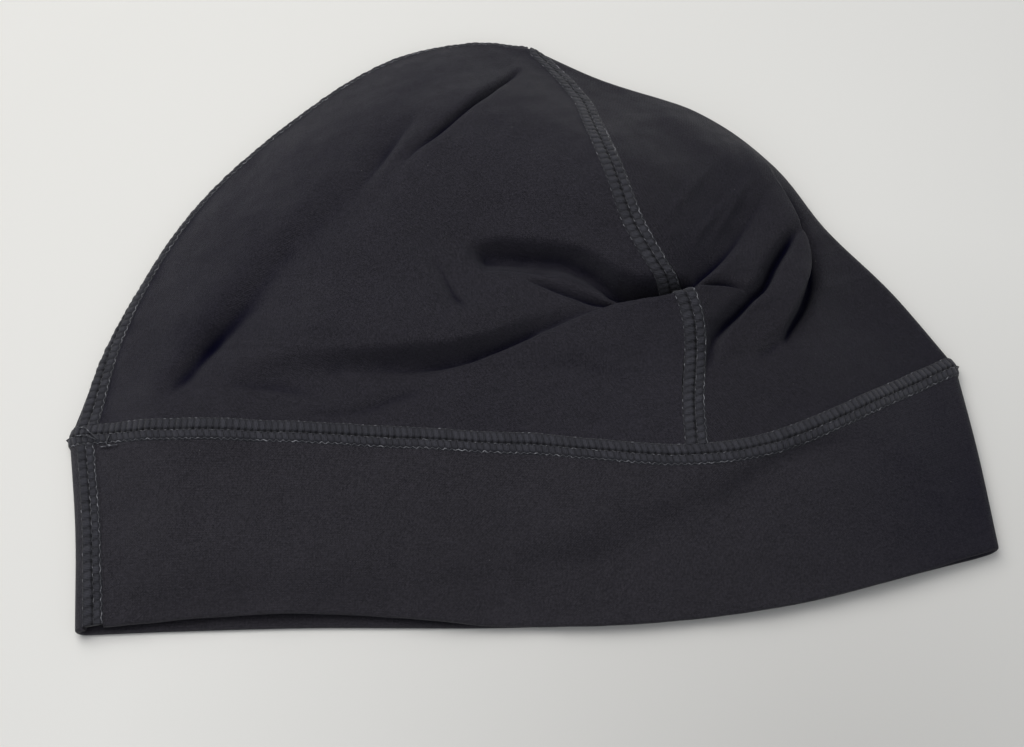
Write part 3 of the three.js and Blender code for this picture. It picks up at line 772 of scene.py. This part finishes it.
# A flat overlocked seam is two rows of small padded stitches with a groove between them.
# Offsets are from the seam's middle line.
STITCH_ROWS = [
    # middle, half width, phase
    (1.32, 1.3, 0.0),
    (-1.12, 1.12, 0.42),
]
GROOVE_WIDTH = 0.36       # half width of the groove
PIT_LENGTH = 0.34         # half length of the pits along it, which are dented and coloured darker as painted shade
PIT_DEPTH = 0.6           # how deep they are, as a share of SEAM_PROUD
STITCH_SLANT = 0.12       # how far a stitch leans along the seam, for each millimetre across it
EDGE_TONE = 0.4           # how light the cloth is between the stitches and the needle threads
EDGE_AT = 2.0             # where that cloth starts
EDGE_FADE = 0.3           # and over how far it comes in
CLEAR_OF_CLOTH = 0.03     # how far the whole seam is lifted off the cloth beside it
ACROSS_STEPS = 22
STEPS_PER_STITCH = 8


def hashed(n, seed):
    """A number from 0 to 1 for each whole number, the same at every run."""
    value = np.sin(n * 12.9898 + seed * 78.233) * 43758.5453
    return value - np.floor(value)


def stitch_relief(s, u):
    """How far the stitches stand above the cloth beside a seam, and how light they are: each stitch varies at
    random, and painted shade darkens the gaps between stitches and the pits in the groove.
    """
    s, u = np.broadcast_arrays(s, u)
    height = np.zeros(s.shape)
    tone = np.zeros(s.shape)
    for row, (middle, half, phase) in enumerate(STITCH_ROWS):
        stitch = s / STITCH + phase + STITCH_SLANT * (u - middle)
        n = np.floor(stitch)
        along = np.sin(math.pi * (stitch - n)) ** 0.5
        width = half * (0.94 + 0.1 * hashed(n, 5 + row))
        across = np.sqrt(np.maximum(1 - ((u - middle) / width) ** 4, 0))
        pad = across * (0.4 + 0.6 * along)
        height = np.maximum(height, pad * (0.75 + 0.35 * hashed(n, 7 + row)))
        # painted shade: the tone falls off towards the ends of each stitch, where they meet
        tone = np.maximum(tone, across * (0.12 + 0.88 * along) * (0.66 + 0.34 * hashed(n, 3 + row)))
    tone = np.maximum(tone, EDGE_TONE * smooth((np.abs(u) - EDGE_AT) / EDGE_FADE))
    n = np.floor(s / STITCH + 0.5)
    along = (s / STITCH - n) * STITCH
    pit = np.exp(-(u / GROOVE_WIDTH) ** 2 - (along / PIT_LENGTH) ** 2)
    pit = pit * (0.8 + 0.6 * hashed(n, 9))
    # painted shade: the pits are coloured darker
    return SEAM_PROUD * (height - PIT_DEPTH * pit) + CLEAR_OF_CLOTH, tone * np.maximum(1 - 1.1 * pit, 0)


ASKEW = (0.31, 0.23, 0.92)     # a direction that no thread follows


def strand(shape, path, radius, sides, cloth, tone, look):
    """A closed round strand along a path of points."""
    along = unit(np.gradient(path, axis=0))
    up = unit(np.cross(along, ASKEW))
    side = np.cross(along, up)
    turns = np.arange(sides) * 2 * math.pi / sides
    radius = np.broadcast_to(radius, len(path))
    ring = (np.cos(turns)[None, :, None] * up[:, None, :] + np.sin(turns)[None, :, None] * side[:, None, :])
    points = path[:, None, :] + ring * radius[:, None, None]
    index = shape.add(points, cloth, tone).reshape(len(path), sides)
    shape.quads(index, loop=True, flip=True, look=look)
    ends = shape.add(path[[0, -1]], cloth, tone)
    turned = np.roll(index, -1, axis=1)
    for end, a, b in ((ends[0], index[0], turned[0]), (ends[1], turned[-1], index[-1])):
        shape.add_faces(np.stack([np.full(sides, end), a, b, b], 1), look)


def clear_of_table(points):
    """A share from 0 to 1: a seam on the lower layer is pressed flat where it meets the table."""
    return smooth((points[..., 2] - 0.5) / 2)


def above_table(points, room=0.0):
    points[..., 2] = np.maximum(points[..., 2], room)
    return points


# The needle threads of a seam: where each lies across it, how far it wanders, and how it shows.
THREADS = [
    # offset, wander, lift, phase, radius
    (2.6, 0.1, 0.02, 0.0, 0.1),
    (-2.4, 0.16, 0.08, 0.4, 0.13),
    (-0.3, 0.08, 0.28, 0.5, 0.07),
]
THREAD_STEPS = 8
THREAD_SIDES = 5
THREAD_DIP = 0.1          # how far a needle thread dips into the cloth at each stitch
SEAM_BACK_TONE = 0.3      # how light the underside of a seam is: darker, as painted shade under it
THREAD_LOOK = 1           # which of a seam's materials its needle threads and loose ends have


def seam(name, place, length, pitch, materials, loop=False, extra=None):
    """A flat overlocked seam. place(s, u) gives the points s along it and u across it."""
    stitches = round(length / pitch)
    steps = stitches * STEPS_PER_STITCH
    steps += steps % 2
    s = np.linspace(0, length, steps + 1)
    if loop:
        s = s[:-1]
    u = np.linspace(-HALF_SEAM, HALF_SEAM, ACROSS_STEPS + 1)
    base = place(s[None, :] + 0 * u[:, None], u[:, None] + 0 * s[None, :])
    normals = grid_normals(base, loop)
    pitch = length / stitches
    height, tone = stitch_relief(s[None, :] * STITCH / pitch, u[:, None])
    points = above_table(base + normals * (height * clear_of_table(base))[..., None])
    shape = Shape()
    cloth = np.stack(np.broadcast_arrays(s[None, :], u[:, None]), -1)
    fine = shape.add(points, cloth.reshape(-1, 2), tone.ravel()).reshape(points.shape[:2])
    rows = [0, len(u) // 2, -1]
    under = base[rows] - normals[rows] * (SEAM_CLOTH - SEAM_PROUD)
    below = shape.add(under, cloth[rows].reshape(-1, 2), SEAM_BACK_TONE).reshape(under.shape[:2])
    shape.quads(fine, loop)
    shape.quads(below, loop, flip=True)
    shape.quads(np.stack([fine[0], below[0]]), loop, flip=True)
    shape.quads(np.stack([fine[-1], below[-1]]), loop)
    if not loop:
        for end, flip in ((0, False), (-1, True)):
            middle = below[1, end]
            edge = np.concatenate([below[:1, end], fine[:, end], below[-1:, end]])
            fan = np.stack([np.full(len(edge) - 1, middle), edge[:-1], edge[1:], edge[1:]], 1)
            shape.add_faces(fan[:, [0, 2, 1, 1]] if flip else fan)
    for k, (offset, wander, lift, phase, radius) in enumerate(THREADS):
        t = np.arange(stitches * THREAD_STEPS + (0 if loop else 1)) / THREAD_STEPS
        turn = (t + phase) * 2 * math.pi
        uneven = hashed(np.floor(t + phase), 11 + k) - 0.5
        at_u = offset + wander * np.sin(turn + 1.2) * (1 + uneven)
        at_s = np.clip(t * pitch, 0, length)
        line = place(at_s, at_u)
        beside = place(at_s, at_u + 0.2) - place(at_s, at_u - 0.2)
        facing = unit(np.cross(np.gradient(line, axis=0), beside))
        rise = (lift + THREAD_DIP * np.cos(turn) - 0.12 * uneven) * clear_of_table(line)
        path = above_table(line + facing * rise[:, None], radius)
        if loop:
            path = np.concatenate([path, path[:1]])
        strand(shape, path, radius, THREAD_SIDES, (0.0, 0.0), 0.5 + 0.5 * uneven.mean(), THREAD_LOOK)
    if extra is not None:
        extra(shape)
    return shape.build(name, materials)


def along_a_seam(line, count=600):
    """The length of a seam's middle line, and for a length along it the coordinate that reaches it."""
    at = np.linspace(0, 1, count)
    length = run_length(line(at))
    return length[-1], lambda s: np.interp(s, length, at)


# Loose ends of thread where the seams meet at the left corner. Each is a run of places on the
# band seam: millimetres from the left fold, millimetres above its middle line, and lift.
THREAD_TAILS = [
    [(3.6, 1.9, 0.3), (5.4, 1.7, 0.9), (7.4, 0.0, 1.0), (9.4, -1.9, 0.4)],
    [(3.4, -0.2, 0.3), (6.4, -0.6, 0.9), (9.0, -2.0, 0.4)],
    [(12.4, -0.6, 0.5), (11.0, -3.2, 0.6), (12.6, -3.6, 0.3)],
    [(9.2, -3.7, 0.3), (12.0, -3.7, 0.6), (14.2, -3.4, 0.3)],
]
TAIL_RADIUS = 0.14
TAIL_SIDES = 6
TAIL_STEPS = 14           # steps from one place to the next
TAIL_BLUR = 11            # how many of them are averaged into one, to round the corners


def thread_tails(shape):
    for tail in THREAD_TAILS:
        at = np.linspace(0, len(tail) - 1, TAIL_STEPS * (len(tail) - 1) + 1)
        columns = [np.interp(at, np.arange(len(tail)), column) for column in zip(*tail)]
        wide = [np.pad(column, TAIL_BLUR // 2, mode="edge") for column in columns]
        s, u, lift = (np.convolve(w, np.full(TAIL_BLUR, 1 / TAIL_BLUR), mode="valid") for w in wide)
        around = s / layer_length(np.zeros(1))
        path = surface(around, beside_band_seam(around, u))
        path[:, 2] += SEAM_PROUD * 0.6 + lift
        strand(shape, path, TAIL_RADIUS, TAIL_SIDES, (0.0, 0.0), 1.0, THREAD_LOOK)


def band_ring(name, materials):
    length, coordinate = along_a_seam(lambda t: surface(2 * t, np.zeros_like(t)), 1600)
    places = np.linspace(0, 2, 1601)
    above = stretch_along(places, BESIDE)
    below = stretch_along(places, -BESIDE)

    def place(s, u):
        around = 2 * coordinate(s)
        stretch = np.where(u < 0, np.interp(around, places, below), np.interp(around, places, above))
        return surface(around, u / stretch)

    return seam(name, place, length, RING_PITCH, materials, loop=True, extra=thread_tails)


def upright_seam(name, line, low, high, pitch, materials, width=1.0):
    """A seam up the cap from low to high. On the band it stays round the cap where its line starts."""
    def middle(t):
        along = low + t * (high - low)
        return surface(line(np.maximum(along, 0)), along)

    length, coordinate = along_a_seam(middle)

    def place(s, u):
        along = low + coordinate(s) * (high - low)
        return surface(beside_seam(line, np.maximum(along, 0), -u * width), along)

    return seam(name, place, length, pitch, materials)


def crown_seam(name, line, materials):
    foot = beside_band_seam(line(np.zeros(1)), HALF_SEAM - OVERLAP)[0]
    return upright_seam(name, line, foot, POINT_TRIM, CROWN_PITCH, materials)


def band_back(name, materials):
    top = beside_band_seam(back_seam(np.zeros(1)), OVERLAP - HALF_SEAM)[0]
    return upright_seam(name, back_seam, -1, top, BACK_PITCH, materials, BACK_NARROWER)


BAND_STEPS_UP = 56
HEM_STEPS = 10
BAND_STEPS = [(0.02, 12), (0.5, 110), (0.98, 116), (1.02, 18), (1.5, 50), (1.97, 50)]
BAND_END_STEPS = 12


def band(name, material):
    """The band: one strip of jersey that goes down outside, round the hem and up again inside."""
    start, end, _ = panel_edges(0.0, back_seam, back_seam)
    stops = [(place, steps) for place, steps in BAND_STEPS if place > start + 0.01]
    around = between(start, *stops, (2 + end, BAND_END_STEPS))
    top = beside_band_seam(around, -UNDER_SEAM)
    share = np.linspace(0, 1, BAND_STEPS_UP + 1)
    along = -1 + share[:, None] * (top + 1)
    outer = surface(around[None, :] + 0 * along, along)
    steady = blurred(grid_normals(outer), HEM_BLUR)
    down = outer[0] - outer[1]
    down = unit(down - (down * steady[0]).sum(1)[:, None] * steady[0])
    half = BAND_CLOTH / 2
    turn = np.linspace(0, math.pi, HEM_STEPS + 1)[1:-1]

    def skin(depth):
        """The strip at one depth in its cloth, from the top of the outside to that of the inside."""
        radius = half - depth
        middle = outer - steady * half
        outside = (middle + steady * radius)[::-1]
        hem = middle[0] + np.cos(turn)[:, None, None] * steady[0] * radius \
            + np.sin(turn)[:, None, None] * down * radius
        inside = middle - steady * radius
        return np.concatenate([outside, hem, inside])

    face = skin(0.0)
    shape = Shape()
    cloth = cloth_places(face, face.shape[1] // 2)
    # painted shade of the darker patches, carried by the tone
    shape.wall(face, skin(BAND_LAYER), cloth, patch_painted_shade(face), flip=True)
    return shape.build(name, [material])


# Materials

class Nodes:
    """Short ways to add nodes to a material."""

    def __init__(self, name):
        self.material = bpy.data.materials.new(name)
        self.material.use_nodes = True
        self.tree = self.material.node_tree
        self.shader = self.tree.nodes["Principled BSDF"]

    def put(self, value, socket):
        if isinstance(value, bpy.types.NodeSocket):
            self.tree.links.new(value, socket)
        else:
            socket.default_value = value

    def set(self, name, value):
        """Gives one of the shader's inputs a constant or another node's output."""
        self.put(value, self.shader.inputs[name])

    def add(self, kind, inputs=(), **settings):
        """The outputs of a new node with these settings and inputs."""
        node = self.tree.nodes.new("ShaderNode" + kind)
        for key, value in settings.items():
            setattr(node, key, value)
        for key, value in dict(inputs).items():
            self.put(value, node.inputs[key])
        return node.outputs

    def metres(self):
        return self.add("TexCoord")["Object"]

    def cloth(self):
        return self.add("UVMap", uv_map="cloth_mm")[0]

    def tone(self):
        return self.add("Attribute", attribute_name="tone")["Fac"]

    def split(self, vector):
        return self.add("SeparateXYZ", {0: vector})

    def math(self, operation, a, b=0.0, c=0.0):
        return self.add("Math", {0: a, 1: b, 2: c}, operation=operation)[0]

    def mix(self, share, a, b):
        return self.add("Mix", {0: share, 6: a, 7: b}, data_type="RGBA")[2]

    def noise(self, vector, scale, detail=2.0, roughness=0.5):
        inputs = {"Vector": vector, "Scale": scale, "Detail": detail, "Roughness": roughness}
        return self.add("TexNoise", inputs)["Fac"]

    def remap(self, value, low, high, to_low=0.0, to_high=1.0):
        return self.add("MapRange", enumerate((value, low, high, to_low, to_high)))["Result"]

    def bump(self, height, distance, strength, **others):
        inputs = {"Height": height, "Distance": distance, "Strength": strength, **others}
        return self.add("Bump", inputs)["Normal"]


WALE = 0.62               # width of one column of knit stitches
COURSE = 0.48             # height of one row of them
LEG_SLANT = 1.6           # how many rows the legs of a stitch climb across one column
STRANDS = 4               # strands of looped thread in one stitch of a seam


def jersey(name, dark, light, turn, sheen=0.06):
    """Fine wool jersey, its colour darkened by painted shade where the tone attribute is low. turn is the
    angle of its wales to the grid, in degrees.
    """
    n = Nodes(name)
    turned = n.add("Mapping", {"Vector": n.cloth(), "Rotation": (0, 0, math.radians(turn))})
    x, y, _ = n.split(turned[0])
    across = n.math("MULTIPLY", x, 1 / WALE)
    up = n.math("MULTIPLY", y, 1 / COURSE)
    from_middle = n.math("ABSOLUTE", n.math("SUBTRACT", n.math("FRACT", across), 0.5))
    ridge = n.math("SINE", n.math("MULTIPLY", from_middle, 2 * math.pi))
    slanted = n.math("MULTIPLY_ADD", from_middle, LEG_SLANT, up)
    legs = n.math("SINE", n.math("MULTIPLY", slanted, 2 * math.pi))
    knit = n.math("MULTIPLY_ADD", legs, 0.35, ridge)
    metres = n.metres()
    grain = n.noise(metres, 1900, 3.0, 0.6)
    mottle = n.noise(metres, 260, 3.0, 0.6)
    patches = n.noise(metres, 42, 2.0, 0.5)
    fuzz = n.noise(metres, 4200, 1.0, 0.5)
    tone = n.math("ADD", n.math("MULTIPLY", n.remap(grain, 0.36, 0.64), 0.7), n.math("MULTIPLY", mottle, 0.3))
    tone = n.math("MULTIPLY_ADD", patches, 0.3, tone)
    tone = n.math("MULTIPLY_ADD", knit, 0.16, n.math("SUBTRACT", tone, 0.18))
    # The tone attribute is painted shade: it is low down in creases and in the darker patches, and there it
    # darkens the colour towards a bluish black and lowers the gloss and sheen.
    depth = n.tone()
    n.set("Specular IOR Level", n.remap(depth, 0.1, 1.0, 0.04, 0.24))
    specks = n.add("TexVoronoi", {"Vector": metres, "Scale": 150})
    lint = n.remap(specks["Distance"], 0.012, 0.024, 0.7, 0.0)
    cloth = n.mix(depth, (0.0004, 0.0003, 0.009, 1), n.mix(tone, dark, light))
    n.set("Base Color", n.mix(lint, cloth, (0.14, 0.14, 0.14, 1)))
    n.set("Roughness", n.remap(mottle, 0.3, 0.7, 0.55, 0.67))
    n.set("Sheen Weight", n.remap(depth, 0.2, 1.0, 0.3 * sheen, sheen))
    n.set("Sheen Roughness", 0.45)
    n.set("Sheen Tint", (0.75, 0.78, 0.9, 1))
    rough = n.bump(n.math("ADD", grain, n.math("MULTIPLY", fuzz, 0.6)), 0.0005, 0.5)
    n.set("Normal", n.bump(knit, 0.0002, 0.6, Normal=rough))
    return n.material


def seam_cover(name, dark, light):
    """The looped thread of the overlocked seams, with painted shade from the tone: darker down in its gaps
    and pits and on its underside.
    """
    n = Nodes(name)
    strands = n.math("SINE", n.math("MULTIPLY", n.split(n.cloth())[0], 2 * math.pi * STRANDS / STITCH))
    metres = n.metres()
    grain = n.noise(metres, 2600, 2.0, 0.6)
    share = n.math("MULTIPLY", n.tone(), n.remap(grain, 0.25, 0.75, 0.55, 1.1))
    n.set("Base Color", n.mix(share, dark, light))
    n.set("Roughness", n.remap(grain, 0.3, 0.7, 0.65, 0.85))
    n.set("Specular IOR Level", 0.25)
    n.set("Sheen Weight", 0.12)
    n.set("Sheen Roughness", 0.4)
    rough = n.bump(grain, 0.0003, 0.4)
    n.set("Normal", n.bump(strands, 0.00015, 0.5, Normal=rough))
    return n.material


def thread(name, dark, light):
    """The needle thread, glossier than the rest, with painted glints: spots of it are coloured much lighter
    to stand in for highlights.
    """
    n = Nodes(name)
    metres = n.metres()
    grain = n.noise(metres, 700, 2.0, 0.6)
    # painted glints: rare spots of the noise take the light colour
    n.set("Base Color", n.mix(n.remap(grain, 0.5, 0.68), dark, light))
    n.set("Roughness", n.remap(grain, 0.3, 0.7, 0.5, 0.35))
    n.set("Specular IOR Level", 0.5)
    return n.material


TABLE_PALE = (0.76, 0.75, 0.72, 1)
# painted light: the table is coloured darker nearer the window lamp, to even out the brighter light that
# falls there
TABLE_PAINTED_BY_WINDOW = (0.71, 0.7, 0.67, 1)
TABLE_PAINTED_SHADOW = (0.575, 0.565, 0.542, 1)
TABLE_PAINTED_SHADOW_AT = (0.07, -0.14, 0)      # painted shadow: the table is coloured a little darker round here


def table_top(name):
    n = Nodes(name)
    metres = n.metres()
    cloud = n.noise(metres, 3.0, 2.0, 0.5)
    x, y, _ = n.split(metres)
    # painted light: towards the window the colour darkens, evening out the lamp's pool of light
    towards_window = n.math("MULTIPLY_ADD", y, 0.8, n.math("MULTIPLY", x, -1))
    light = n.math("MULTIPLY_ADD", cloud, 0.1, n.remap(towards_window, -0.05, 0.2))
    # painted shadow: the colour darkens round one spot in front of the cap's lower right
    from_corner = n.add("VectorMath", {0: metres, 1: TABLE_PAINTED_SHADOW_AT}, operation="DISTANCE")
    shade = n.remap(from_corner["Value"], 0.03, 0.17)
    pale = n.mix(light, TABLE_PALE, TABLE_PAINTED_BY_WINDOW)
    n.set("Base Color", n.mix(shade, TABLE_PAINTED_SHADOW, pale))
    n.set("Roughness", n.remap(cloud, 0.3, 0.7, 0.5, 0.6))
    n.set("Specular IOR Level", 0.25)
    return n.material


# Camera: at the photograph's angle above the table, 1024 x 747 pixels
ELEVATION = 65
DISTANCE = 0.4
TARGET = Vector((-0.0035, -0.0154, 0.0))
LENS = 56.25
SENSOR = 36


def add_camera():
    up = math.radians(ELEVATION)
    data = bpy.data.cameras.new("camera")
    data.lens = LENS
    data.sensor_width = SENSOR
    data.clip_start = 0.01
    location = TARGET + DISTANCE * Vector((0, -math.cos(up), math.sin(up)))
    bpy.context.scene.camera = add_object("camera", data, location, TARGET)


def add_light(name, location, size, energy, color):
    data = bpy.data.lights.new(name, "AREA")
    data.size = size
    data.energy = energy
    data.color = color
    add_object(name, data, location, (0, 0, 0))


def add_stage():
    size = 3.0
    mesh = bpy.data.meshes.new("table_top")
    corners = [(-size, -size, 0), (size, -size, 0), (size, size, 0), (-size, size, 0)]
    mesh.from_pydata(corners, [], [(0, 1, 2, 3)])
    mesh.materials.append(table_top("table_top"))
    floor = add_object("table_top", mesh)
    add_light("window", (-0.2, 0.18, 0.5), 0.5, 2.2, (1.0, 0.985, 0.97))
    add_light("ceiling", (-0.1, 0.15, 1.8), 1.3, 5.6, (1.0, 0.99, 0.98))
    add_light("room", (-0.05, -0.8, 0.8), 1.2, 2.6, (0.94, 0.95, 1.0))
    world = bpy.data.worlds.new("room")
    bpy.context.scene.world = world
    world.use_nodes = True
    sky = world.node_tree.nodes["Background"]
    sky.inputs["Color"].default_value = (0.9, 0.95, 1.0, 1)
    sky.inputs["Strength"].default_value = 0.3
    bpy.context.scene.view_settings.view_transform = "Standard"


add_camera()
# The three jerseys are one wool. The band's lighter colour and the front panel's darker one are painted light
# and shade, standing in for how the light falls on them.
crown_jersey = jersey("crown_jersey", (0.0045, 0.0037, 0.007, 1), (0.0214, 0.0192, 0.0274, 1), 6)
front_jersey = jersey("front_jersey", (0.0043, 0.0036, 0.0062, 1), (0.0182, 0.016, 0.0232, 1), 40)
band_jersey = jersey("band_jersey", (0.006, 0.0049, 0.008, 1), (0.0268, 0.0242, 0.0314, 1), 0)
seam_looks = [
    seam_cover("seam_cover", (0.0036, 0.0036, 0.0056, 1), (0.0445, 0.0445, 0.0555, 1)),
    # the needle thread's light colour is a painted glint
    thread("needle_thread", (0.026, 0.027, 0.034, 1), (0.2, 0.2, 0.22, 1)),
]

pieces = [
    (crown_panel("crown_panel_near_cloth", near_panel_lines, crown_jersey),
     "crown_panel_near", "crown_jersey"),
    (crown_panel("crown_panel_front_cloth", front_panel_lines, front_jersey),
     "crown_panel_front", "crown_jersey"),
    (crown_panel("crown_panel_far_cloth", far_panel_lines, crown_jersey),
     "crown_panel_far", "crown_jersey"),
    (band("band_cloth", band_jersey), "band", "band_jersey"),
    (band_ring("band_ring_stitches", seam_looks), "seam_band_ring", "seam_thread"),
    (band_back("band_back_stitches", seam_looks), "seam_band_back", "seam_thread"),
    (crown_seam("crown_back_stitches", back_seam, seam_looks), "seam_crown_back", "seam_thread"),
    (crown_seam("front_near_stitches", front_seam_near, seam_looks), "seam_crown_front_near", "seam_thread"),
    (crown_seam("front_far_stitches", front_seam_far, seam_looks), "seam_crown_front_far", "seam_thread"),
]
for piece, node, slot in pieces:
    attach(piece, "root")
    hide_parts(node)

add_stage()
